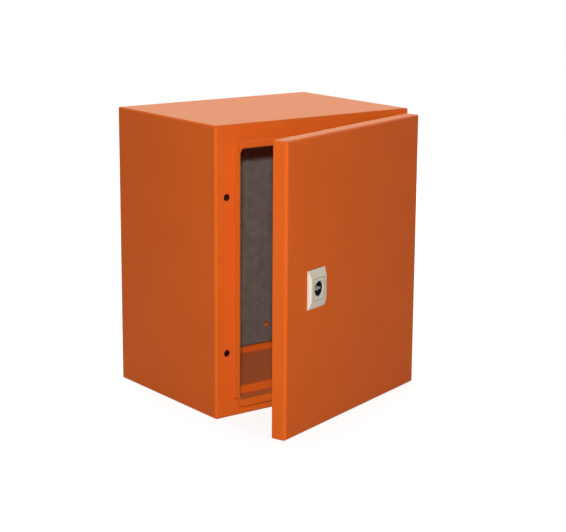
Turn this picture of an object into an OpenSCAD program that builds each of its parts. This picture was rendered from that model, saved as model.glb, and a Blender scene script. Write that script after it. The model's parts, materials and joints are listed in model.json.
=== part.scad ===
// Steel wall enclosure with a hinged door, a mounting plate and a gland plate.
// Millimetres. +Z is up, +X is to the right seen from the front, +Y points into the wall.
// The origin is on the back face, at the centre of the four wall-fixing holes.

/* [Body] */
// Width of the body
body_w = 250; // [220:1:400]
// Height of the body
body_h = 300; // [280:1:600]
// Depth of the body, from the wall to the flange that the door covers
body_d = 182; // [150:1:300]
// Thickness of the sheet steel of the body and the door
sheet_t = 1.5; // [1:0.1:2]
// Outer radius of every bend in the body's sheet
bend_r = 2.5; // [2.2:0.1:4]

/* [Front frame] */
// Width of the frame at the sides, from the side wall to the door opening
frame_side = 24.5; // [22.5:0.5:30]
// Width of the frame at the top
frame_top = 23.5; // [20:0.5:30]
// Width of the frame at the bottom
frame_bottom = 19.5; // [18:0.5:30]
// Corner radius of the door opening
opening_r = 5; // [3:0.5:10]
// How far the rain gutter stands in front of the flange
lip_depth = 10; // [9:0.5:11]
// Width of the gutter's front face, which the door's gasket presses on
return_w = 7.5; // [6:0.5:8]
// How far the ends of the gutter's side faces stop short of the opening's corners
return_short = 3; // [1:0.5:6]
// Height of the weld bead along the mitred corners of the flange
weld_h = 0.2; // [0.1:0.1:0.8]
// Width of that weld bead
weld_w = 4; // [2:0.5:5]

/* [Wall fixing] */
// Distance of the wall-fixing holes from the body's sides, top and underside
wall_in = 25; // [20:1:40]
// Diameter of a wall-fixing hole
wall_hole_d = 8.5; // [6:0.1:10]

/* [Door] */
// How far the door's sides are inside the body's side walls
door_side = 1.5; // [0.5:0.1:3]
// How far the door's upper edge is below the body's top; its lower edge is level with the underside
door_top = 5.2; // [3:0.1:10]
// Depth of the door, from its front face to the edge of its folded sides
door_t = 16; // [15:0.5:20]
// Gap between the door's folded sides and the flange when the door is closed
door_gap = 2; // [2:0.1:3]
// Outer radius of the bends round the door's front
door_bend_r = 3; // [2.2:0.1:4]
// Radius at the four welded corners of the door, seen from the front
door_corner_r = 1.6; // [1:0.1:4]
// How far the door stands open at rest, in degrees
door_open = 18.4; // [0:0.1:96]
// Width of the foamed gasket inside the door
gasket_w = 10.6; // [8:0.1:11]
// Space that the gasket leaves to the gutter when the door is closed
gasket_clear = 0.3; // [0.1:0.1:1]

/* [Hinges] */
// Distance from the side wall to the middle of the hinge holes in the flange
hinge_hole_in = 14; // [13:0.1:15]
// Diameter of the hinge holes in the flange
hinge_hole_d = 7.5; // [7.2:0.1:9]
// Distance of each hinge from the near end of the door opening
hinge_end = 48.5; // [40:0.5:70]
// Distance of the hinge axis from the outer face of the door's folded side
pin_in = 4.5; // [4.2:0.1:5]
// Distance of the hinge axis in front of the flange
pin_out = 8; // [8:0.1:9]
// Diameter of the hinge pin
pin_d = 5; // [4:0.1:5.5]
// Radial clearance of the pin in the hinge block, where it turns
pin_clear = 0.05; // [0.02:0.01:0.1]
// Diameter of the knuckles round the pin
knuckle_d = 8; // [7.5:0.1:8]
// Height of the hinge block on the body
block_h = 24; // [18:1:40]
// Thickness of the ears of the bracket on the door
ear_t = 2.5; // [2:0.1:4]
// Gap between the ears and the block
ear_gap = 0.4; // [0.3:0.1:1]
// Height of the bracket on the door
bracket_h = 62; // [58:1:90]
// Diameter of the screw that holds the hinge block
block_screw_d = 5; // [4:0.1:5]

/* [Lock] */
// Distance of the lock's centre from the free edge of the door
lock_in = 49; // [44:0.5:60]
// Distance of the lock's centre below the middle of the door
lock_low = 2.6; // [0:0.1:10]
// Width of the lock's faceplate
face_w = 29; // [28:0.5:36]
// Height of the lock's faceplate
face_h = 39; // [36:0.5:50]
// Thickness of the lock's faceplate
face_t = 4.6; // [4:0.1:8]
// Depth of the slope at the faceplate's top
face_slope_top = 8; // [4:0.5:9]
// Depth of the slope at the faceplate's bottom
face_slope_bottom = 8; // [3:0.5:9]
// Diameter of the barrel that passes through the door
barrel_d = 22; // [20:0.5:24]
// Width across the two flats of the barrel
barrel_flats = 20; // [18:0.5:20]
// Length of the barrel behind the door's sheet
barrel_l = 12; // [10:0.5:13]
// Diameter of the double-bit insert
insert_d = 16; // [14:0.5:16]
// Depth of the insert's face below the faceplate
insert_sunk = 1.6; // [1:0.1:2.5]
// Length of the cam from the lock's centre to its tip
cam_l = 36; // [32:0.5:46]
// Width of the cam
cam_w = 18; // [16:0.5:24]
// Thickness of the cam
cam_t = 3; // [2:0.1:4]
// Gap between the cam and the back of the flange when the door is locked
cam_gap = 0.7; // [0.5:0.1:2]

/* [Mounting plate] */
// Distance of the mounting plate's edges from the outside of the body
plate_in = 17; // [14:0.5:24]
// Thickness of the mounting plate
plate_t = 1.5; // [1.2:0.1:3]
// Length of the spacers between the back wall and the mounting plate
spacer_l = 14; // [8:0.5:30]
// Distance of the plate's studs from its side edges
stud_in_x = 24; // [18:1:28]
// Distance of the plate's studs from its upper and lower edges
stud_in_z = 13; // [10:1:20]
// Diameter of the studs that carry the mounting plate
stud_d = 6; // [5:0.1:8]
// Distance between the plate's spare holes across the width
spare_pitch_x = 120; // [90:1:130]
// Distance between the plate's spare holes up the height
spare_pitch_z = 224; // [200:1:230]
// Diameter of the plate's spare holes
spare_d = 7; // [5:0.1:10]

/* [Gland plate] */
// Distance of the gland plate's ends from the outside of the body
gland_side = 35; // [30:1:45]
// Depth of the gland plate
gland_d = 84; // [76:1:92]
// Height of the gland plate above the body's floor
gland_h = 8; // [5:0.5:10]
// Distance of the gland plate behind the flange
gland_in = 55; // [40:1:60]
// Distance of the cable opening's ends from the ends of the gland plate
cable_side = 18; // [17:0.5:30]
// Depth of the cable opening under the gland plate
cable_d = 42; // [30:1:44]
// Diameter of the gland plate's studs
gland_stud_d = 5; // [4:0.1:6]

/* [Earth studs] */
// Diameter of the earth studs in the body and on the door
earth_d = 6; // [5:0.1:8]
// Length of the earth studs
earth_l = 16; // [14:1:20]
// Distance of the body's earth stud from the right side wall
earth_in = 28; // [26:1:40]
// Distance of the body's earth stud behind the flange
earth_behind = 24; // [20:1:28]

/* [Hidden] */
$fn = 64;

// Planes, from the wall forwards
flange_y = -body_d;
flange_back = flange_y + sheet_t;
gutter_front = flange_y - lip_depth;
door_back = flange_y - door_gap;
door_front = door_back - door_t;
door_inner = door_front + sheet_t;
plate_back = -sheet_t - spacer_l;
plate_front = plate_back - plate_t;
floor_z = -body_h / 2 + sheet_t;
gland_top = floor_z + gland_h;

// Door opening, from edge to edge of the gutter's lip
open_w = body_w - 2 * frame_side;
open_h = body_h - frame_top - frame_bottom;
open_z = (frame_bottom - frame_top) / 2;

// Door, hinge axis and lock
door_w = body_w - 2 * door_side;
door_h = body_h - door_top;
door_z = -door_top / 2;
door_wall = door_w / 2 - sheet_t;
hinge_x = door_w / 2 - pin_in;
hinge_y = flange_y - pin_out;
hinge_hole_x = body_w / 2 - hinge_hole_in;
hinge_pitch = open_h - 2 * hinge_end;
hinge_zs = [open_z + hinge_pitch / 2, open_z - hinge_pitch / 2];
lock_x = -door_w / 2 + lock_in;
lock_z = door_z - lock_low;

// Fits and standard parts
hole_clear = 0.25;
thread_clear = 0.05;
press_clear = 0.02;
washer_t = 1.6;
m4_nut = [7, 3.2];
m5_nut = [8, 4];
m6_nut = [10, 5];
overlap = 1;

// Hinge details
block_under = lip_depth - sheet_t - 0.9;
block_left = body_w / 2 - frame_side + bend_r + 0.3;
spigot_h = sheet_t - 0.3;
head_t = 1.5;
clip_t = 0.8;
groove_d = pin_d - 1;
pin_tail = 0.8;
ear_z = block_h / 2 + ear_gap;
notch_h = 2 * (ear_z + ear_t + head_t + 2 * pin_tail);
notch_y = hinge_y - knuckle_d / 2 - 0.4;
bracket_t = 2;
bracket_right = door_w / 2 - door_bend_r;
bracket_left = open_w / 2 + return_w / 2 + gasket_w / 2 + 0.7;
bracket_stud_d = 4;
bracket_stud_x = (bracket_left + bracket_right) / 2;
bracket_stud_z = bracket_h / 2 - 8;

// Lock details
seal_t = 0.8;
face_bevel = 1.6;
face_edge = 1.6;
barrel_end = door_inner + barrel_l;
rear_wall = 2;
neck_d = 10;
square_w = 8;
cam_y = flange_back + cam_gap;
cam_end = cam_y + cam_t;
cam_screw_d = 5;

// Gasket: the height left between the door's sheet and the gutter
gasket_t = door_t - sheet_t + door_gap - lip_depth - gasket_clear;
gasket_r = (gasket_w * gasket_w / 4 + gasket_t * gasket_t) / (2 * gasket_t);

// Mounting plate
plate_w = body_w - 2 * plate_in;
plate_h = body_h - 2 * plate_in;
stud_pitch_x = plate_w - 2 * stud_in_x;
stud_pitch_z = plate_h - 2 * stud_in_z;

// Gland plate
gland_w = body_w - 2 * gland_side;
cable_w = gland_w - 2 * cable_side;
gland_y = flange_y + gland_in + gland_d / 2;
gland_gap = 1.5;
seal_w = gland_w - 2 * sheet_t - 2 * gland_gap;
seal_d = gland_d - 2 * sheet_t - 2 * gland_gap;
gland_stud_x = (seal_w + cable_w) / 4 + 0.5;
gland_stud_y = (seal_d + cable_d) / 4 + 0.5;

orange = "#d9601f";
grey_zinc = "#8f9294";
bright_zinc = "#c4c6c8";
black = "#1b1c1e";
insert_grey = "#5d6265";
beige = "#d3ccbb";
foam = "#2c2d2f";

// ---- shared shapes ----

// A rectangle with round corners, centred
module rounded_rect(w, h, r) {
    square([w - 2 * r, h], center = true);
    square([w, h - 2 * r], center = true);
    for (sx = [-1, 1], sy = [-1, 1])
        translate([sx * (w / 2 - r), sy * (h / 2 - r)])
            circle(r);
}

// A box whose twelve edges are bends of radius r, centred
module bent_box(w, d, h, r) {
    intersection() {
        linear_extrude(h, center = true)
            rounded_rect(w, d, r);
        rotate([90, 0, 0])
            linear_extrude(d, center = true)
                rounded_rect(w, h, r);
        rotate([90, 0, 90])
            linear_extrude(w, center = true)
                rounded_rect(d, h, r);
    }
}

// Carries a section round a rectangle w by h with corner radius r.
// The section's x points outwards from the rectangle and its y becomes +Z.
module sweep_round(w, h, r) {
    for (turn = [0, 180])
        rotate([0, 0, turn]) {
            translate([w / 2, 0, 0])
                rotate([90, 0, 0])
                    linear_extrude(h - 2 * r, center = true)
                        children();
            translate([0, h / 2, 0])
                rotate([90, 0, 90])
                    linear_extrude(w - 2 * r, center = true)
                        children();
        }
    for (i = [0 : 3], sx = [1, -1, -1, 1][i], sy = [1, 1, -1, -1][i])
        translate([sx * (w / 2 - r), sy * (h / 2 - r), 0])
            rotate([0, 0, 90 * i])
                rotate_extrude(angle = 90)
                    translate([r, 0])
                        children();
}

// Stands its children on a plane that faces the front: x stays, y becomes +Z, z points forwards
module facing(y) {
    translate([0, y, 0])
        rotate([90, 0, 0])
            children();
}

// One copy at each corner of a rectangle in the children's own plane
module at_corners(dx, dy) {
    for (sx = [-1, 1], sy = [-1, 1])
        translate([sx * dx / 2, sy * dy / 2, 0])
            children();
}

// Turns what is drawn for the closed door to where the door stands
module on_door() {
    translate([hinge_x, hinge_y, 0])
        rotate([0, 0, door_open])
            translate([-hinge_x, -hinge_y, 0])
                children();
}

// A hexagon nut, size = [across flats, height], chamfered on its outer face
module nut(size, d) {
    af = size[0];
    h = size[1];
    difference() {
        intersection() {
            cylinder(h = h, d = af / cos(30), $fn = 6);
            cylinder(h = h, r1 = 0.48 * af + h * tan(60), r2 = 0.48 * af);
        }
        translate([0, 0, -overlap])
            cylinder(h = h + 2 * overlap, d = d + 2 * thread_clear);
    }
}

module washer(outer, inner, t) {
    difference() {
        cylinder(h = t, d = outer);
        translate([0, 0, -overlap])
            cylinder(h = t + 2 * overlap, d = inner);
    }
}

// A stud that stands on z = 0, with a chamfered tip
module stud(d, l) {
    tip = 0.12 * d;
    cylinder(h = l - tip, d = d);
    translate([0, 0, l - tip])
        cylinder(h = tip, d1 = d, d2 = d - 2 * tip);
}

// ---- body ----

// Section of the rain gutter: root bend, lip, front bend and return.
// x points outwards from the opening's edge and y forwards from the flange.
module gutter_section() {
    inner = bend_r - sheet_t;
    translate([bend_r, -sheet_t])
        square([overlap, sheet_t]);
    translate([bend_r, inner])
        quarter_bend(inner, -1);
    translate([0, inner])
        square([sheet_t, lip_depth - bend_r - inner]);
    translate([bend_r, lip_depth - bend_r])
        quarter_bend(inner, 1);
    translate([bend_r, lip_depth - sheet_t])
        square([return_w - bend_r, sheet_t]);
}

// The gutter round the opening. Its front face is cut away at each corner, where the
// side faces stop short and the upper and lower ones end in the bend.
module gutter() {
    cut = 2 * return_w;
    difference() {
        sweep_round(open_w, open_h, opening_r)
            gutter_section();
        translate([0, 0, lip_depth - sheet_t - 0.1])
            at_corners(open_w + 2 * bend_r + cut, open_h - 2 * return_short + cut)
                translate([-cut / 2, -cut / 2, 0])
                    cube([cut, cut, 2 * sheet_t]);
    }
}

// A quarter ring of sheet towards -x, above (side = 1) or below (side = -1) its centre
module quarter_bend(inner, side) {
    intersection() {
        difference() {
            circle(bend_r);
            circle(inner);
        }
        translate([-bend_r, side > 0 ? 0 : -bend_r])
            square(bend_r);
    }
}

// The raised bead where the flange strips meet at a mitred corner, on the flat of the flange
module mitre_weld(sx, sz) {
    run = [frame_side - bend_r, (sz > 0 ? frame_top : frame_bottom) - bend_r];
    start = sqrt(2) * bend_r + weld_w / 2;
    length = norm(run) - start;
    r = (weld_w * weld_w / 4 + weld_h * weld_h) / (2 * weld_h);
    translate([sx * body_w / 2, sz * body_h / 2, 0])
        rotate([0, 0, atan2(-sz * run[1], -sx * run[0])])
            translate([start, 0, 0])
                intersection() {
                    translate([0, 0, weld_h - r])
                        rotate([0, 90, 0])
                            cylinder(h = length, r = r);
                    translate([0, -weld_w, -sheet_t / 5])
                        cube([length, 2 * weld_w, sheet_t]);
                }
}

module body_shell() {
    color(orange)
        difference() {
            union() {
                difference() {
                    translate([0, flange_y / 2, 0])
                        bent_box(body_w, body_d, body_h, bend_r);
                    translate([0, flange_y / 2, 0])
                        bent_box(
                            body_w - 2 * sheet_t, body_d - 2 * sheet_t, body_h - 2 * sheet_t,
                            bend_r - sheet_t
                        );
                    translate([0, 0, open_z])
                        facing(flange_y)
                            linear_extrude(4 * sheet_t, center = true)
                                rounded_rect(
                                    open_w + 2 * bend_r, open_h + 2 * bend_r, opening_r + bend_r
                                );
                }
                facing(flange_y) {
                    translate([0, open_z, 0])
                        gutter();
                    for (sx = [-1, 1], sz = [-1, 1])
                        mitre_weld(sx, sz);
                }
            }
            facing(overlap)
                at_corners(body_w - 2 * wall_in, body_h - 2 * wall_in)
                    cylinder(h = sheet_t + 2 * overlap, d = wall_hole_d);
            translate([0, 0, open_z])
                facing(flange_back + overlap)
                    at_corners(2 * hinge_hole_x, hinge_pitch)
                        cylinder(h = sheet_t + 2 * overlap, d = hinge_hole_d);
            translate([0, gland_y, floor_z - sheet_t - overlap])
                linear_extrude(sheet_t + 2 * overlap)
                    rounded_rect(cable_w, cable_d, opening_r);
        }
}

// ---- gland plate ----

module gland_plate() {
    color(orange)
        translate([0, gland_y, floor_z])
            difference() {
                bent_box(gland_w, gland_d, 2 * gland_h, bend_r);
                bent_box(
                    gland_w - 2 * sheet_t, gland_d - 2 * sheet_t, 2 * (gland_h - sheet_t),
                    bend_r - sheet_t
                );
                translate([-gland_w, -gland_d, -2 * gland_h])
                    cube([2 * gland_w, 2 * gland_d, 2 * gland_h]);
                at_corners(2 * gland_stud_x, 2 * gland_stud_y)
                    cylinder(h = 2 * gland_h, d = gland_stud_d + 2 * hole_clear);
            }
}

module gland_gasket() {
    color(foam)
        translate([0, gland_y, floor_z])
            difference() {
                linear_extrude(gland_h - sheet_t)
                    difference() {
                        rounded_rect(seal_w, seal_d, opening_r);
                        rounded_rect(cable_w, cable_d, opening_r);
                    }
                translate([0, 0, -overlap])
                    at_corners(2 * gland_stud_x, 2 * gland_stud_y)
                        cylinder(h = gland_h + overlap, d = gland_stud_d + 2 * hole_clear);
            }
}

// Puts one copy at each of the gland plate's studs, at height z above the floor
module at_gland_studs(z) {
    translate([0, gland_y, floor_z + z])
        at_corners(2 * gland_stud_x, 2 * gland_stud_y)
            children();
}

module gland_studs() {
    color(bright_zinc)
        at_gland_studs(0)
            stud(gland_stud_d, gland_h + 1 + m5_nut[1] + 2);
}

module gland_washers() {
    color(bright_zinc)
        at_gland_studs(gland_h)
            washer(2 * gland_stud_d, gland_stud_d + 2 * hole_clear, 1);
}

module gland_nuts() {
    color(bright_zinc)
        at_gland_studs(gland_h + 1)
            nut(m5_nut, gland_stud_d);
}

// ---- mounting plate ----

module mounting_plate() {
    color(grey_zinc)
        on_plate(plate_back)
            difference() {
                linear_extrude(plate_t)
                    rounded_rect(plate_w, plate_h, 4);
                translate([0, 0, -overlap]) {
                    at_corners(stud_pitch_x, stud_pitch_z)
                        cylinder(h = plate_t + 2 * overlap, d = stud_d + 2 * hole_clear);
                    at_corners(spare_pitch_x, spare_pitch_z)
                        cylinder(h = plate_t + 2 * overlap, d = spare_d);
                }
            }
}

// Stands its children on the plane y, centred behind the door opening
module on_plate(y) {
    translate([0, 0, open_z])
        facing(y)
            children();
}

// Puts one copy at each of the mounting plate's studs, facing forwards from the plane y
module at_plate_studs(y) {
    on_plate(y)
        at_corners(stud_pitch_x, stud_pitch_z)
            children();
}

module plate_studs() {
    color(bright_zinc)
        at_plate_studs(-sheet_t)
            stud(stud_d, spacer_l + plate_t + washer_t + m6_nut[1] + 3);
}

module plate_spacers() {
    color(bright_zinc)
        at_plate_studs(-sheet_t)
            washer(2 * stud_d, stud_d + 2 * hole_clear, spacer_l);
}

module plate_washers() {
    color(bright_zinc)
        at_plate_studs(plate_front)
            washer(2 * stud_d, stud_d + 2 * hole_clear, washer_t);
}

module plate_nuts() {
    color(bright_zinc)
        at_plate_studs(plate_front - washer_t)
            nut(m6_nut, stud_d);
}

// ---- earth studs ----

module at_earth(z) {
    translate([body_w / 2 - earth_in, flange_y + earth_behind, floor_z + z])
        children();
}

module earth_stud() {
    color(bright_zinc)
        at_earth(0)
            stud(earth_d, earth_l);
}

// A tooth washer under a plain one
module earth_washers() {
    color(bright_zinc)
        at_earth(0) {
            washer(2 * earth_d - 1, earth_d + 2 * hole_clear, 1);
            translate([0, 0, 1])
                washer(2 * earth_d, earth_d + 2 * hole_clear, washer_t);
        }
}

module earth_nut() {
    color(bright_zinc)
        at_earth(1 + washer_t)
            nut(m6_nut, earth_d);
}

// ---- hinges: body side ----

module hinge_block(z) {
    color(grey_zinc)
        translate([0, 0, z - block_h / 2])
            difference() {
                union() {
                    translate([block_left, flange_y - block_under])
                        cube([hinge_x + 2 - block_left, block_under, block_h]);
                    translate([hinge_x, hinge_y])
                        cylinder(h = block_h, d = knuckle_d);
                    translate([hinge_hole_x, flange_y + spigot_h, block_h / 2])
                        rotate([90, 0, 0])
                            cylinder(h = spigot_h + overlap, d = hinge_hole_d - 2 * 0.1);
                }
                translate([hinge_x, hinge_y, -overlap])
                    cylinder(h = block_h + 2 * overlap, d = pin_d + 2 * pin_clear);
                translate([hinge_hole_x, flange_back + overlap, block_h / 2])
                    rotate([90, 0, 0])
                        cylinder(
                            h = sheet_t + overlap + block_under - 1.5,
                            d = block_screw_d + 2 * thread_clear
                        );
            }
}

module hinge_block_upper() {
    hinge_block(hinge_zs[0]);
}

module hinge_block_lower() {
    hinge_block(hinge_zs[1]);
}

// Pan-head screws from inside the body, with a cross slot in the head
module hinge_screws() {
    head_h = 3.6;
    color(bright_zinc)
        for (z = hinge_zs)
            translate([hinge_hole_x, 0, z])
                facing(flange_back + washer_t)
                    difference() {
                        union() {
                            cylinder(h = washer_t + sheet_t + block_under - 2, d = block_screw_d);
                            mirror([0, 0, 1])
                                cylinder(h = head_h, d = 2 * block_screw_d);
                        }
                        for (turn = [0, 90])
                            rotate([0, 0, turn])
                                translate([0, 0, -head_h])
                                    cube([block_screw_d, 1.2, 3], center = true);
                    }
}

module hinge_screw_washers() {
    color(bright_zinc)
        for (z = hinge_zs)
            translate([hinge_hole_x, 0, z])
                facing(flange_back + washer_t)
                    washer(2.3 * block_screw_d, block_screw_d + 2 * hole_clear, washer_t);
}

// ---- door ----

// The hole for the lock's barrel, with two flats that stop it turning
module barrel_section(clear) {
    intersection() {
        circle(d = barrel_d + 2 * clear);
        square([barrel_flats + 2 * clear, 2 * barrel_d], center = true);
    }
}

module door_leaf() {
    color(orange)
        on_door()
            difference() {
                translate([0, door_back, door_z])
                    difference() {
                        bent_door(0);
                        bent_door(sheet_t);
                        translate([-door_w, 0, -door_h])
                            cube([2 * door_w, 2 * door_t, 2 * door_h]);
                    }
                for (z = hinge_zs)
                    translate([door_wall - 1, notch_y, z - notch_h / 2])
                        cube([sheet_t + 2, -notch_y, notch_h]);
                translate([lock_x, 0, lock_z])
                    facing(door_inner + overlap)
                        linear_extrude(sheet_t + 2 * overlap)
                            barrel_section(0.2);
            }
}

// The door's outline inset by t, bent round its front; it runs past the back edge
module bent_door(t) {
    w = door_w - 2 * t;
    h = door_h - 2 * t;
    d = 2 * (door_t - t);
    r = door_bend_r - t;
    intersection() {
        facing(0)
            linear_extrude(2 * d, center = true)
                rounded_rect(w, h, max(door_corner_r - t, 0.1));
        linear_extrude(2 * h, center = true)
            rounded_rect(w, d, r);
        rotate([90, 0, 90])
            linear_extrude(2 * w, center = true)
                rounded_rect(d, h, r);
    }
}

// A foamed bead, domed towards the gutter, whose face it meets all round the opening
module door_gasket() {
    color(foam)
        on_door()
            translate([0, door_inner, open_z])
                rotate([-90, 0, 0])
                    sweep_round(open_w + return_w, open_h + return_w, opening_r + return_w / 2)
                        intersection() {
                            translate([0, gasket_t - gasket_r])
                                circle(gasket_r);
                            translate([-gasket_w, 0])
                                square([2 * gasket_w, gasket_t]);
                        }
}

// ---- hinges: door side ----

module hinge_bracket(z) {
    ear_left = bracket_left + 1;
    color(bright_zinc)
        on_door()
            translate([0, 0, z])
                difference() {
                    union() {
                        translate([bracket_left, door_inner, -bracket_h / 2])
                            cube([bracket_right - bracket_left, bracket_t, bracket_h]);
                        for (side = [-1, 1])
                            translate([0, 0, side * (ear_z + ear_t / 2) - ear_t / 2]) {
                                translate([hinge_x, hinge_y])
                                    cylinder(h = ear_t, d = knuckle_d);
                                translate([ear_left, door_inner + bracket_t / 2])
                                    cube([
                                        bracket_right - ear_left,
                                        hinge_y - door_inner - bracket_t / 2,
                                        ear_t
                                    ]);
                            }
                    }
                    translate([hinge_x, hinge_y, -bracket_h / 2])
                        cylinder(h = bracket_h, d = pin_d + 2 * press_clear);
                    for (side = [-1, 1])
                        translate([bracket_stud_x, 0, side * bracket_stud_z])
                            facing(door_inner + bracket_t + overlap)
                                cylinder(
                                    h = bracket_t + 2 * overlap,
                                    d = bracket_stud_d + 2 * hole_clear
                                );
                }
}

module hinge_bracket_upper() {
    hinge_bracket(hinge_zs[0]);
}

module hinge_bracket_lower() {
    hinge_bracket(hinge_zs[1]);
}

// Headed pin with a groove for its circlip below the lower ear
module hinge_pin(z) {
    top = ear_z + ear_t;
    color(bright_zinc)
        on_door()
            translate([hinge_x, hinge_y, z])
                difference() {
                    union() {
                        translate([0, 0, -top - clip_t - 2 * pin_tail])
                            cylinder(h = 2 * top + clip_t + 2 * pin_tail, d = pin_d);
                        translate([0, 0, top])
                            cylinder(h = head_t, d1 = knuckle_d, d2 = knuckle_d - 1);
                    }
                    translate([0, 0, -top - clip_t - 0.1])
                        washer(2 * pin_d, groove_d, clip_t + 0.1);
                }
}

module hinge_pin_upper() {
    hinge_pin(hinge_zs[0]);
}

module hinge_pin_lower() {
    hinge_pin(hinge_zs[1]);
}

module hinge_circlips() {
    color(black)
        on_door()
            for (z = hinge_zs)
                translate([hinge_x, hinge_y, z - ear_z - ear_t - clip_t - 0.05])
                    difference() {
                        washer(knuckle_d - 0.4, groove_d + 0.1, clip_t);
                        translate([-knuckle_d, -groove_d / 3, -overlap])
                            cube([knuckle_d, 2 * groove_d / 3, clip_t + 2 * overlap]);
                    }
}

// Puts one copy at each stud of the two brackets, pointing into the body from the plane y
module at_bracket_studs(y) {
    on_door()
        for (z = hinge_zs, side = [-1, 1])
            translate([bracket_stud_x, y, z + side * bracket_stud_z])
                rotate([-90, 0, 0])
                    children();
}

module bracket_studs() {
    color(bright_zinc)
        at_bracket_studs(door_inner)
            stud(bracket_stud_d, bracket_t + m4_nut[1] + 1);
}

module bracket_nuts() {
    color(bright_zinc)
        at_bracket_studs(door_inner + bracket_t)
            nut(m4_nut, bracket_stud_d);
}

// ---- door earth stud ----

module at_door_earth(y) {
    on_door()
        translate([body_w / 2 - 1.5 * earth_in, door_inner + y, -body_h / 2 + 1.5 * earth_in])
            rotate([-90, 0, 0])
                children();
}

module door_earth_stud() {
    color(bright_zinc)
        at_door_earth(0)
            stud(earth_d, earth_l);
}

module door_earth_washer() {
    color(bright_zinc)
        at_door_earth(0)
            washer(2 * earth_d, earth_d + 2 * hole_clear, washer_t);
}

module door_earth_nut() {
    color(bright_zinc)
        at_door_earth(washer_t)
            nut(m6_nut, earth_d);
}

// ---- lock ----

// Stands its children on the door's plane y at the lock's centre, facing forwards
module at_lock(y) {
    on_door()
        translate([lock_x, 0, lock_z])
            facing(y)
                children();
}

// The faceplate: deep slopes above and below, narrow bevels at the sides
module faceplate() {
    intersection() {
        rotate([90, 0, 90])
            linear_extrude(face_w, center = true)
                polygon([
                    [-face_h / 2, 0],
                    [face_h / 2, 0],
                    [face_h / 2, face_edge],
                    [face_h / 2 - face_slope_top, face_t],
                    [-face_h / 2 + face_slope_bottom, face_t],
                    [-face_h / 2, face_edge]
                ]);
        rotate([90, 0, 0])
            linear_extrude(face_h, center = true)
                polygon([
                    [-face_w / 2, 0],
                    [face_w / 2, 0],
                    [face_w / 2, face_edge],
                    [face_w / 2 - face_bevel, face_t],
                    [-face_w / 2 + face_bevel, face_t],
                    [-face_w / 2, face_edge]
                ]);
    }
}

module lock_housing() {
    depth = seal_t + sheet_t + barrel_l;
    color(beige)
        at_lock(door_front - seal_t)
            difference() {
                union() {
                    faceplate();
                    translate([0, 0, -depth])
                        linear_extrude(depth + overlap)
                            barrel_section(0);
                }
                translate([0, 0, rear_wall - depth])
                    cylinder(h = depth + face_t, d = insert_d);
                translate([0, 0, -depth - overlap])
                    cylinder(h = 2 * rear_wall + overlap, d = neck_d);
            }
}

module lock_gasket() {
    color(black)
        at_lock(door_front)
            linear_extrude(seal_t)
                difference() {
                    square([face_w - 2, face_h - 2], center = true);
                    barrel_section(0.2);
                }
}

module lock_nut() {
    nut_h = 5;
    color(bright_zinc)
        at_lock(door_inner + nut_h)
            difference() {
                cylinder(h = nut_h, d = (barrel_d + 5) / cos(30), $fn = 6);
                translate([0, 0, -overlap])
                    cylinder(h = nut_h + 2 * overlap, d = barrel_d + 2 * thread_clear);
            }
}

// Rotor with a double-bit post in its cup, a round neck and a square end for the cam
module lock_insert() {
    turn_clear = 0.06;
    front = door_front - seal_t - face_t + insert_sunk;
    body_l = barrel_end - rear_wall - front;
    cup_d = insert_d - 1.6;
    cup_deep = 7;
    post_d = 4.6;
    bit_w = 2.4;
    color(insert_grey)
        at_lock(front) {
            difference() {
                translate([0, 0, -body_l])
                    cylinder(h = body_l, d = insert_d - 2 * turn_clear);
                translate([0, 0, -cup_deep])
                    cylinder(h = cup_deep + overlap, d = cup_d);
            }
            translate([0, 0, -cup_deep - overlap])
                cylinder(h = cup_deep + overlap - 0.8, d = post_d);
            translate([-0.42 * cup_d, -bit_w / 2, -cup_deep - overlap])
                cube([0.84 * cup_d, bit_w, cup_deep + overlap - 0.8]);
            translate([0, 0, -body_l - rear_wall - 1])
                cylinder(h = rear_wall + 1 + overlap, d = neck_d - 2 * turn_clear);
            translate([0, 0, front - cam_end])
                difference() {
                    translate([-square_w / 2, -square_w / 2, 0])
                        cube([square_w, square_w, cam_end - barrel_end - overlap / 2]);
                    translate([0, 0, -overlap])
                        cylinder(h = 9, d = cam_screw_d + 2 * thread_clear);
                }
        }
}

// The tongue hangs down when unlocked and turns to the free edge behind the flange
module lock_cam() {
    color(bright_zinc)
        at_lock(cam_end)
            difference() {
                union() {
                    cylinder(h = cam_t, d = cam_w);
                    translate([-cam_w / 2, -cam_l + cam_w / 2, 0])
                        cube([cam_w, cam_l - cam_w / 2, cam_t]);
                    translate([0, -cam_l + cam_w / 2, 0])
                        cylinder(h = cam_t, d = cam_w);
                }
                translate([-square_w / 2, -square_w / 2, -overlap])
                    cube([square_w, square_w, cam_t + 2 * overlap]);
            }
}

module cam_washer() {
    color(bright_zinc)
        at_lock(cam_end + washer_t)
            washer(square_w * 1.75, cam_screw_d + 2 * hole_clear, washer_t);
}

module cam_screw() {
    color(bright_zinc)
        at_lock(cam_end + washer_t) {
            cylinder(h = washer_t + 7, d = cam_screw_d);
            translate([0, 0, -m5_nut[1]])
                cylinder(h = m5_nut[1], d = m5_nut[0] / cos(30), $fn = 6);
        }
}

body_shell();
gland_plate();
gland_gasket();
gland_studs();
gland_washers();
gland_nuts();
mounting_plate();
plate_studs();
plate_spacers();
plate_washers();
plate_nuts();
earth_stud();
earth_washers();
earth_nut();
hinge_block_upper();
hinge_block_lower();
hinge_screws();
hinge_screw_washers();
door_leaf();
door_gasket();
hinge_bracket_upper();
hinge_bracket_lower();
hinge_pin_upper();
hinge_pin_lower();
hinge_circlips();
bracket_studs();
bracket_nuts();
door_earth_stud();
door_earth_washer();
door_earth_nut();
lock_housing();
lock_gasket();
lock_nut();
lock_insert();
lock_cam();
cam_washer();
cam_screw();
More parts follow.
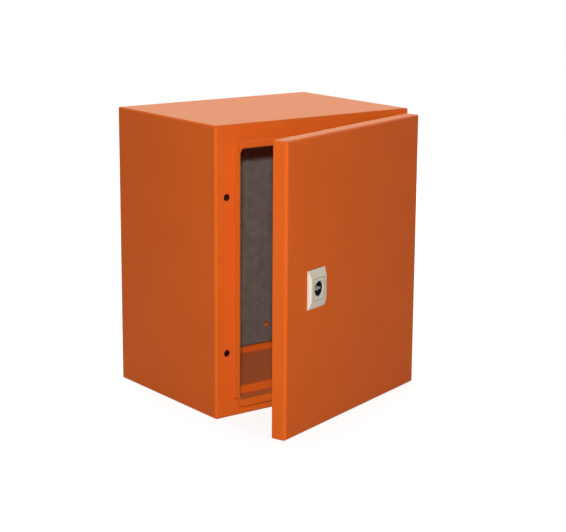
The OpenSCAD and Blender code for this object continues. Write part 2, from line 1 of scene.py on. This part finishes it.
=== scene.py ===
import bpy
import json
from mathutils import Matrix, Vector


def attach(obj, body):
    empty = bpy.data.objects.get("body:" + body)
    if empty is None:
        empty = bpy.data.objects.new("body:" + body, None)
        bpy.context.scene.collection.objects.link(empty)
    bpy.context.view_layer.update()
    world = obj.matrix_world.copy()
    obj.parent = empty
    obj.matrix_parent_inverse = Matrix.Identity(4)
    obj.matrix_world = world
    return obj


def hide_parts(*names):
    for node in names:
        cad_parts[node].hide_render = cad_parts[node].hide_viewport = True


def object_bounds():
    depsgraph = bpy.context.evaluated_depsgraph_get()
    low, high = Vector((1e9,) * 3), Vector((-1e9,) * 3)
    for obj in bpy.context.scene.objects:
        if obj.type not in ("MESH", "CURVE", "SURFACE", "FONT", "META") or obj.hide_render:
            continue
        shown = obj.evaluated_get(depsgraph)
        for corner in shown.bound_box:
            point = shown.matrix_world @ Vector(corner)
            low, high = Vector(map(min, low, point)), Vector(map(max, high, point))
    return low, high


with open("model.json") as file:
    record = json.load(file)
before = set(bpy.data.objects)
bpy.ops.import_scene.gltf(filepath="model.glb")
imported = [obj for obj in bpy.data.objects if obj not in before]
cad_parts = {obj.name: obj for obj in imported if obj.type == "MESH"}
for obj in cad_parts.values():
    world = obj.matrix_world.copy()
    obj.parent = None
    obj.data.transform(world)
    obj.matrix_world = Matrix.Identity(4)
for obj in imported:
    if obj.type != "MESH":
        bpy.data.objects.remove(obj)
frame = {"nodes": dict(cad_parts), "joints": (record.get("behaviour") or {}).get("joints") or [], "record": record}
cad_box = [list(corner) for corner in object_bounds()]

import json
import math

import bpy
import numpy as np
from mathutils import Matrix, Vector

# A sheet-steel wall enclosure with a hinged door. Metres, +Z up, the wall at +Y.
MM = 0.001
UP = Vector((0, 0, 1))
SQUARE = ((-1, -1), (1, -1), (1, 1), (-1, 1))
WHITE = (1, 1, 1, 1)
NODES = frame["nodes"]
JOINTS = {joint["name"]: joint for joint in frame["joints"]}
UNDERSIDE = cad_box[0][2]


# ---- camera ----

CAMERA_PLACE = (-0.9905, -1.4401, 0.3618)
# Degrees to the left of the front, above the level, and round the line of sight
AZIMUTH, ELEVATION, ROLL = 37.04, 12.95, 0.39
LENS_MM, SENSOR_MM = 100.35, 36
CLIP_START, CLIP_END = 0.05, 50


def place_camera():
    """Looks at the front from the left and a little above, through a long lens."""
    azimuth, elevation, roll = (math.radians(angle) for angle in (AZIMUTH, ELEVATION, ROLL))
    turn = (
        Matrix.Rotation(-azimuth, 4, "Z")
        @ Matrix.Rotation(math.pi / 2 - elevation, 4, "X")
        @ Matrix.Rotation(roll, 4, "Z")
    )
    lens = bpy.data.cameras.new("camera")
    lens.sensor_width = SENSOR_MM
    lens.lens = LENS_MM
    lens.clip_start = CLIP_START
    lens.clip_end = CLIP_END
    camera = bpy.data.objects.new("camera", lens)
    camera.matrix_world = Matrix.Translation(CAMERA_PLACE) @ turn
    bpy.context.scene.collection.objects.link(camera)
    bpy.context.scene.camera = camera


# ---- nodes, colours and meshes ----

# A Mix node's sockets share their names, so its inputs and outputs go by number
FLOAT_A, FLOAT_B, FLOAT = 2, 3, 0
COLOUR_A, COLOUR_B, COLOUR = 6, 7, 2


def linear(code):
    """The linear RGBA of an sRGB hex code such as #d9601f."""
    parts = [int(code[i : i + 2], 16) / 255 for i in (1, 3, 5)]
    return (*(c / 12.92 if c <= 0.04045 else ((c + 0.055) / 1.055) ** 2.4 for c in parts), 1)


def add(tree, kind, inputs=(), **settings):
    """Adds a node.

    inputs maps a socket's name or number to a value or to another node's socket.
    """
    node = tree.nodes.new("ShaderNode" + kind)
    for name, value in settings.items():
        setattr(node, name, value)
    for name, value in dict(inputs).items():
        if isinstance(value, bpy.types.NodeSocket):
            tree.links.new(value, node.inputs[name])
        else:
            node.inputs[name].default_value = value
    return node


def new_material(name, **sockets):
    """A material, its tree, its Principled shader with constant sockets, and object coordinates."""
    material = bpy.data.materials.new(name)
    material.use_nodes = True
    tree = material.node_tree
    shader = tree.nodes["Principled BSDF"]
    for socket, value in sockets.items():
        shader.inputs[socket.replace("_", " ")].default_value = value
    place = add(tree, "TexCoord").outputs["Object"]
    return material, tree, shader, place


def add_mesh(name, points, faces, finish):
    """Adds an object of one material to the scene."""
    mesh = bpy.data.meshes.new(name)
    mesh.from_pydata(points, [], faces)
    mesh.materials.append(finish)
    piece = bpy.data.objects.new(name, mesh)
    bpy.context.scene.collection.objects.link(piece)
    return piece


# ---- materials ----


def orange_powder_coat():
    """Polyester powder coat, baked: satin, with a fine orange peel and a faint cloudiness."""
    material, tree, shader, place = new_material("orange_powder_coat", IOR=1.5)
    shader.inputs["Specular IOR Level"].default_value = 0.03
    # The fine powder texture scatters a pale sheen at grazing angles
    shader.inputs["Sheen Weight"].default_value = 0.35
    shader.inputs["Sheen Roughness"].default_value = 0.3
    shader.inputs["Sheen Tint"].default_value = linear("#ffe2b4")
    cloud = add(tree, "TexNoise", {"Vector": place, "Scale": 1 / (45 * MM), "Detail": 2})
    tint = add(
        tree, "Mix",
        {"Factor": cloud.outputs[0], COLOUR_A: linear("#da5f1e"), COLOUR_B: linear("#e16621")},
        data_type="RGBA",
    )
    tree.links.new(tint.outputs[COLOUR], shader.inputs["Base Color"])
    # The peel's waves are 1 to 3 mm apart and a few hundredths of a millimetre deep
    peel = add(tree, "TexNoise", {"Vector": place, "Scale": 1 / (2.4 * MM), "Detail": 1.5})
    gloss = add(tree, "MapRange", {"Value": peel.outputs[0], "To Min": 0.34, "To Max": 0.46})
    tree.links.new(gloss.outputs[0], shader.inputs["Roughness"])
    bump = add(tree, "Bump", {"Height": peel.outputs[0], "Distance": 0.05 * MM, "Strength": 0.6})
    tree.links.new(bump.outputs[0], shader.inputs["Normal"])
    return material


def galvanised_sheet():
    """Hot-dip galvanised steel: dull warm grey, with faint crystals and rolling streaks."""
    material, tree, shader, place = new_material("galvanised_sheet", Metallic=1.0)
    spangle = add(tree, "TexVoronoi", {"Vector": place, "Scale": 1 / (6 * MM)})
    crystal = add(tree, "RGBToBW", {"Color": spangle.outputs["Color"]})
    # The rolls leave streaks about 3 mm apart that run up the sheet for 100 mm
    drawn = add(tree, "Mapping", {"Vector": place, "Scale": (1, 1, 0.03)})
    streak = add(tree, "TexNoise", {"Vector": drawn.outputs[0], "Scale": 1 / (3 * MM), "Detail": 2})
    blend = add(
        tree, "Mix",
        {"Factor": 0.65, FLOAT_A: crystal.outputs[0], FLOAT_B: streak.outputs[0]},
        data_type="FLOAT",
    )
    pattern = blend.outputs[FLOAT]
    tint = add(
        tree, "Mix",
        {"Factor": pattern, COLOUR_A: linear("#a1968f"), COLOUR_B: linear("#c6bbb1")},
        data_type="RGBA",
    )
    tree.links.new(tint.outputs[COLOUR], shader.inputs["Base Color"])
    gloss = add(tree, "MapRange", {"Value": pattern, "To Min": 0.56, "To Max": 0.7})
    tree.links.new(gloss.outputs[0], shader.inputs["Roughness"])
    return material


def zinc_plated_steel():
    """Bright zinc plate: a cool white metal with a faint blue and yellow passivation."""
    material, tree, shader, place = new_material("zinc_plated_steel", Metallic=1.0, Roughness=0.32)
    film = add(tree, "TexNoise", {"Vector": place, "Scale": 1 / (4 * MM), "Detail": 2})
    tint = add(
        tree, "Mix",
        {"Factor": film.outputs[0], COLOUR_A: linear("#b9c1c9"), COLOUR_B: linear("#d2cdbb")},
        data_type="RGBA",
    )
    tree.links.new(tint.outputs[COLOUR], shader.inputs["Base Color"])
    scratch = add(tree, "TexNoise", {"Vector": place, "Scale": 1 / (0.6 * MM), "Detail": 2})
    bump = add(tree, "Bump", {"Height": scratch.outputs[0], "Distance": 0.01 * MM, "Strength": 0.5})
    tree.links.new(bump.outputs[0], shader.inputs["Normal"])
    return material


def die_cast_zinc():
    """Tumbled zinc die casting: a matt grey metal with a fine pebbled skin."""
    material, tree, shader, place = new_material("die_cast_zinc", Metallic=1.0, Roughness=0.5)
    skin = add(tree, "TexNoise", {"Vector": place, "Scale": 1 / (0.9 * MM), "Detail": 3})
    tint = add(
        tree, "Mix",
        {"Factor": skin.outputs[0], COLOUR_A: linear("#8e9194"), COLOUR_B: linear("#a6a8aa")},
        data_type="RGBA",
    )
    tree.links.new(tint.outputs[COLOUR], shader.inputs["Base Color"])
    bump = add(tree, "Bump", {"Height": skin.outputs[0], "Distance": 0.04 * MM, "Strength": 0.5})
    tree.links.new(bump.outputs[0], shader.inputs["Normal"])
    return material


def moulded_polyamide(name, roughness, dark, light):
    """Moulded polyamide: matt, with the fine grain of a spark-eroded mould."""
    material, tree, shader, place = new_material(name, IOR=1.53, Roughness=roughness)
    grain = add(tree, "TexNoise", {"Vector": place, "Scale": 1 / (0.5 * MM), "Detail": 2})
    tint = add(
        tree, "Mix",
        {"Factor": grain.outputs[0], COLOUR_A: linear(dark), COLOUR_B: linear(light)},
        data_type="RGBA",
    )
    tree.links.new(tint.outputs[COLOUR], shader.inputs["Base Color"])
    bump = add(tree, "Bump", {"Height": grain.outputs[0], "Distance": 0.02 * MM, "Strength": 0.6})
    tree.links.new(bump.outputs[0], shader.inputs["Normal"])
    return material


def lock_polyamide():
    """Glass-filled polyamide of the lock's housing: a warm light grey."""
    return moulded_polyamide("lock_polyamide", 0.42, "#d3c8b4", "#dcd3c1")


def black_polyamide():
    """Black polyamide, which the grain greys a little."""
    return moulded_polyamide("black_polyamide", 0.5, "#141517", "#222326")


def foamed_polyurethane():
    """Polyurethane seal, foamed in place: a dark skin, dimpled where cells lie under it."""
    material, tree, shader, place = new_material("foamed_polyurethane", IOR=1.5, Roughness=0.75)
    cells = add(tree, "TexVoronoi", {"Vector": place, "Scale": 1 / (1.1 * MM)})
    skin = add(tree, "TexNoise", {"Vector": place, "Scale": 1 / (9 * MM), "Detail": 2})
    tint = add(
        tree, "Mix",
        {"Factor": skin.outputs[0], COLOUR_A: linear("#26272a"), COLOUR_B: linear("#393a3c")},
        data_type="RGBA",
    )
    tree.links.new(tint.outputs[COLOUR], shader.inputs["Base Color"])
    bump = add(tree, "Bump", {"Height": cells.outputs["Distance"], "Distance": 0.12 * MM})
    tree.links.new(bump.outputs[0], shader.inputs["Normal"])
    return material


def burnished_zinc():
    """The lock's rotor: a zinc casting, plated dark and burnished where keys turn it."""
    material, tree, shader, place = new_material("burnished_zinc", Metallic=1.0, Roughness=0.3)
    wear = add(tree, "TexNoise", {"Vector": place, "Scale": 1 / (2 * MM), "Detail": 3})
    tint = add(
        tree, "Mix",
        {"Factor": wear.outputs[0], COLOUR_A: linear("#62696e"), COLOUR_B: linear("#8b9297")},
        data_type="RGBA",
    )
    tree.links.new(tint.outputs[COLOUR], shader.inputs["Base Color"])
    return material


def phosphated_spring_steel():
    """Phosphated and oiled spring steel: nearly black, with a soft metal sheen."""
    material, tree, shader, place = new_material(
        "phosphated_spring_steel", Metallic=1.0, Roughness=0.45
    )
    grain = add(tree, "TexNoise", {"Vector": place, "Scale": 1 / (0.4 * MM), "Detail": 2})
    tint = add(
        tree, "Mix",
        {"Factor": grain.outputs[0], COLOUR_A: linear("#242527"), COLOUR_B: linear("#383a3d")},
        data_type="RGBA",
    )
    tree.links.new(tint.outputs[COLOUR], shader.inputs["Base Color"])
    return material


# The finish that stands for each of the record's material slots
FINISHES = {
    "orange_powder_coat": orange_powder_coat,
    "galvanised_sheet": galvanised_sheet,
    "zinc_plated_steel": zinc_plated_steel,
    "die_cast_zinc": die_cast_zinc,
    "black_plastic": black_polyamide,
    "foamed_seal": foamed_polyurethane,
    "light_grey_plastic": lock_polyamide,
    "lock_insert_zinc": burnished_zinc,
    "black_steel": phosphated_spring_steel,
}


def finish_nodes(finishes):
    """Gives every CAD node the finish of its material slot."""
    for part in frame["record"]["subparts"]:
        node = NODES[part["node"]]
        for slot in node.material_slots:
            slot.material = finishes[part["material_slot"]]


# ---- studs with real threads ----

COARSE_PITCH = {"M4": 0.7 * MM, "M5": 0.8 * MM, "M6": 1.0 * MM}
THREAD_DEPTH = 0.58  # of the pitch
THREAD_FLAT = 0.12  # of the pitch, at the crest and again at the root
TIP_CHAMFER = 1.2  # of the thread's depth
RING_POINTS = 20
RINGS_PER_TURN = 6

INTO_DOOR = Vector(JOINTS["lock_turn"]["axis"])
STUDS = (
    # piece, the plain studs that it replaces, their body, the way they point, thread
    ("plate_stud_threads", "plate_studs", "enclosure", (0, -1, 0), "M6"),
    ("gland_stud_threads", "gland_studs", "enclosure", (0, 0, 1), "M5"),
    ("earth_stud_thread", "earth_stud", "enclosure", (0, 0, 1), "M6"),
    ("bracket_stud_threads", "bracket_studs", "door", INTO_DOOR, "M4"),
    ("door_earth_thread", "door_earth_stud", "door", INTO_DOOR, "M6"),
)


def loose_shafts(node, axis):
    """The (base, length, radius) of each separate shaft in a CAD node, along an axis."""
    mesh = NODES[node].data
    points = np.array([v.co for v in mesh.vertices])
    group = list(range(len(points)))

    def root(i):
        while group[i] != i:
            group[i] = group[group[i]]
            i = group[i]
        return i

    # Points within a micrometre, and the two ends of an edge, belong to one shaft
    first_here = {}
    for i, point in enumerate(np.round(points, decimals=6)):
        group[root(i)] = root(first_here.setdefault(tuple(point), i))
    for edge in mesh.edges:
        a, b = edge.vertices
        group[root(a)] = root(b)
    roots = np.array([root(i) for i in range(len(points))])
    axis = np.array(axis) / np.linalg.norm(axis)
    shafts = []
    for r in sorted(set(roots)):
        shaft = points[roots == r]
        along = shaft @ axis
        across = shaft - np.outer(along, axis)
        centre = (across.min(0) + across.max(0)) / 2
        radius = np.linalg.norm(across - centre, axis=1).max()
        shafts.append((Vector(centre + axis * along.min()), float(np.ptp(along)), float(radius)))
    return shafts


def thread_mesh(shafts, axis, pitch):
    """Machined threads with a chamfered tip, one for each shaft."""
    turn = Vector(axis).to_track_quat("Z", "Y").to_matrix()
    depth = THREAD_DEPTH * pitch
    points, faces = [], []
    for base, length, radius in shafts:
        rings = int(round(length / pitch * RINGS_PER_TURN)) + 1
        start = len(points)
        for i in range(rings):
            height = length * i / (rings - 1)
            chamfered = radius - max(0, height - (length - TIP_CHAMFER * depth))
            for j in range(RING_POINTS):
                angle = 2 * math.pi * j / RING_POINTS
                phase = (height / pitch - j / RING_POINTS) % 1
                from_crest = abs(phase - 0.5) * 2
                groove = max(0, min(1, (from_crest - THREAD_FLAT) / (1 - 2 * THREAD_FLAT)))
                r = min(chamfered, radius - depth * groove)
                p = Vector((r * math.cos(angle), r * math.sin(angle), height))
                points.append(base + turn @ p)
        for i in range(rings - 1):
            for j in range(RING_POINTS):
                a = start + i * RING_POINTS + j
                b = start + i * RING_POINTS + (j + 1) % RING_POINTS
                faces.append((a, b, b + RING_POINTS, a + RING_POINTS))
        faces.append(tuple(start + (rings - 1) * RING_POINTS + j for j in range(RING_POINTS)))
    return points, faces


def add_threads(name, node, body, axis, thread, finish):
    """Stands threaded shafts in the place of a CAD node's plain ones."""
    points, faces = thread_mesh(loose_shafts(node, axis), axis, COARSE_PITCH[thread])
    piece = add_mesh(name, points, faces, finish)
    piece.data.shade_smooth()
    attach(piece, body)
    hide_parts(node)


# ---- lock ----

# Size of the black frame that paints the shade in the joint round the lock's centre
SEAM_WIDTH, SEAM_HEIGHT = 19 * MM, 22 * MM
SEAM_LINE = 0.35 * MM
SEAM_THICKNESS = 0.2 * MM
SEAM_PROUD = 0.03 * MM  # from the lock's face to the middle of the seam's thickness


def add_painted_seam_shade(finish):
    """Painted shade: a thin black frame that stands for the shade in the fine square joint that parts the lock's
    centre from its bezel.
    """
    lock = JOINTS["lock_turn"]
    inwards = Vector(lock["axis"]).normalized()
    across = UP.cross(inwards)
    front = min(v.co.dot(inwards) for v in NODES["lock_housing"].data.vertices)
    centre = Vector(lock["pos_m"])
    centre += inwards * (front - centre.dot(inwards) - SEAM_PROUD)
    points = []
    for inset in (0, SEAM_LINE):
        half_w, half_h = SEAM_WIDTH / 2 - inset, SEAM_HEIGHT / 2 - inset
        points += [centre + across * (x * half_w) + UP * (z * half_h) for x, z in SQUARE]
    faces = [(i, (i + 1) % 4, (i + 1) % 4 + 4, i + 4) for i in range(4)]
    # The black frame is painted shade for the joint's groove, not a part of the lock
    piece = add_mesh("lock_seam_painted_shade", points, faces, finish)
    thicken = piece.modifiers.new("thickness", "SOLIDIFY")
    thicken.thickness = SEAM_THICKNESS
    thicken.offset = 0
    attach(piece, "door")


# ---- room and light ----

FLOOR_HALF = 1.6
FLOOR_GAP = 0.2 * MM  # under the object, so that the two surfaces don't coincide
FLOOR_GLOW = 0.8
# The room looks white, and gives the object only this much light
ROOM_LIGHT, ROOM_WHITE = 0.05, 1.0
# name, place, target, diameter, watts: a small softbox over the viewer's head, and broad
# ones above and to the right for the other sides
LAMPS = (
    ("key", (-1.01, -1.457, 0.468), (0, -0.1, 0), 0.05, 24),
    ("top", (0.2, 0.9, 1.9), (0, 0, 0), 1.2, 25),
    ("right", (1.9, 0.6, 0.7), (0, 0, 0), 0.8, 15),
)


def seen_directly(tree):
    """1 for a ray from the camera or one mirrored or let through, and 0 for scattered light."""
    rays = add(tree, "LightPath").outputs
    seen = rays["Is Camera Ray"]
    for kind in ("Is Glossy Ray", "Is Transmission Ray"):
        seen = add(tree, "Math", {0: seen, 1: rays[kind]}, operation="MAXIMUM").outputs[0]
    return seen


def build_room():
    """A pale floor under the object, and a white room all round it."""
    paint = bpy.data.materials.new("floor_paint")
    paint.use_nodes = True
    tree = paint.node_tree
    shader = tree.nodes["Principled BSDF"]
    shader.inputs["Base Color"].default_value = linear("#9c9c9c")
    shader.inputs["Roughness"].default_value = 0.9
    shader.inputs["Emission Color"].default_value = WHITE
    glow = add(tree, "Math", {0: seen_directly(tree), 1: FLOOR_GLOW}, operation="MULTIPLY")
    tree.links.new(glow.outputs[0], shader.inputs["Emission Strength"])
    level = UNDERSIDE - FLOOR_GAP
    corners = [(x * FLOOR_HALF, y * FLOOR_HALF, level) for x, y in SQUARE]
    add_mesh("floor", corners, [(0, 1, 2, 3)], paint)

    world = bpy.data.worlds.new("room")
    bpy.context.scene.world = world
    world.use_nodes = True
    tree = world.node_tree
    background = tree.nodes["Background"]
    background.inputs["Color"].default_value = WHITE
    strength = add(
        tree, "MapRange",
        {"Value": seen_directly(tree), "To Min": ROOM_LIGHT, "To Max": ROOM_WHITE},
    )
    tree.links.new(strength.outputs[0], background.inputs["Strength"])


def add_lamp(name, place, target, diameter, power):
    """A round area lamp that faces its target."""
    lamp = bpy.data.lights.new(name, "AREA")
    lamp.shape = "DISK"
    lamp.size = diameter
    lamp.energy = power
    obj = bpy.data.objects.new(name, lamp)
    obj.location = place
    obj.rotation_mode = "QUATERNION"
    obj.rotation_quaternion = (Vector(target) - Vector(place)).to_track_quat("-Z", "Y")
    bpy.context.scene.collection.objects.link(obj)


# ---- assembly ----

place_camera()
finishes = {slot: make() for slot, make in FINISHES.items()}
finish_nodes(finishes)
for stud in STUDS:
    add_threads(*stud, finish=finishes["zinc_plated_steel"])
# Painted shade in the joint round the lock's centre
add_painted_seam_shade(finishes["black_plastic"])
build_room()
for lamp in LAMPS:
    add_lamp(*lamp)
bpy.context.scene.view_settings.view_transform = "Standard"
